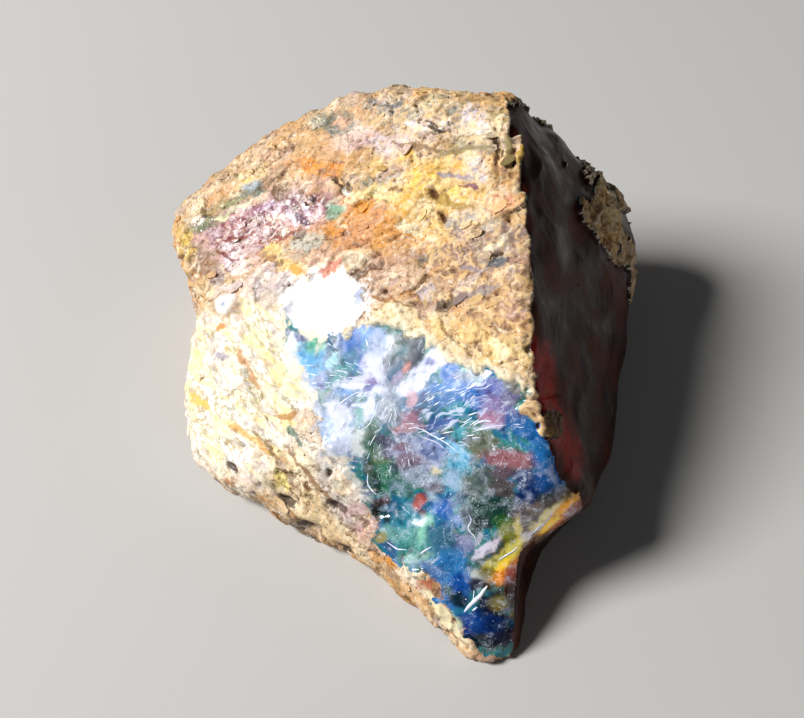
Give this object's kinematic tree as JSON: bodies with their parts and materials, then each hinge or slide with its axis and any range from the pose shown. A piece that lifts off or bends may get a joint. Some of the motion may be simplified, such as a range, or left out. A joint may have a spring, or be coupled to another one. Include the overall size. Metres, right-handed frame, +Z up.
{
  "type": "rough amber lump",
  "caption": "Lump of rough amber: tan weathered crust with a broken glassy face that shows blue and green, lying on its flattest side.",
  "frame": {"origin": "bottom centre of the lump's box, on the level it lies on", "axes": "+Z up, out of the resting face; -Y towards the pointed toe and the broken glassy face; +X towards the steep side below the ridge"},
  "size_m": [0.049, 0.0532, 0.0286],
  "materials": {
    "amber": "fossil resin: rough, scaly tan and ochre crust all round, bare and glassy on the broken front face, where it shows blue and green over a brown body"
  },
  "bodies": {
    "root": {"amber_lump": "amber"}
  },
  "joints": []
}
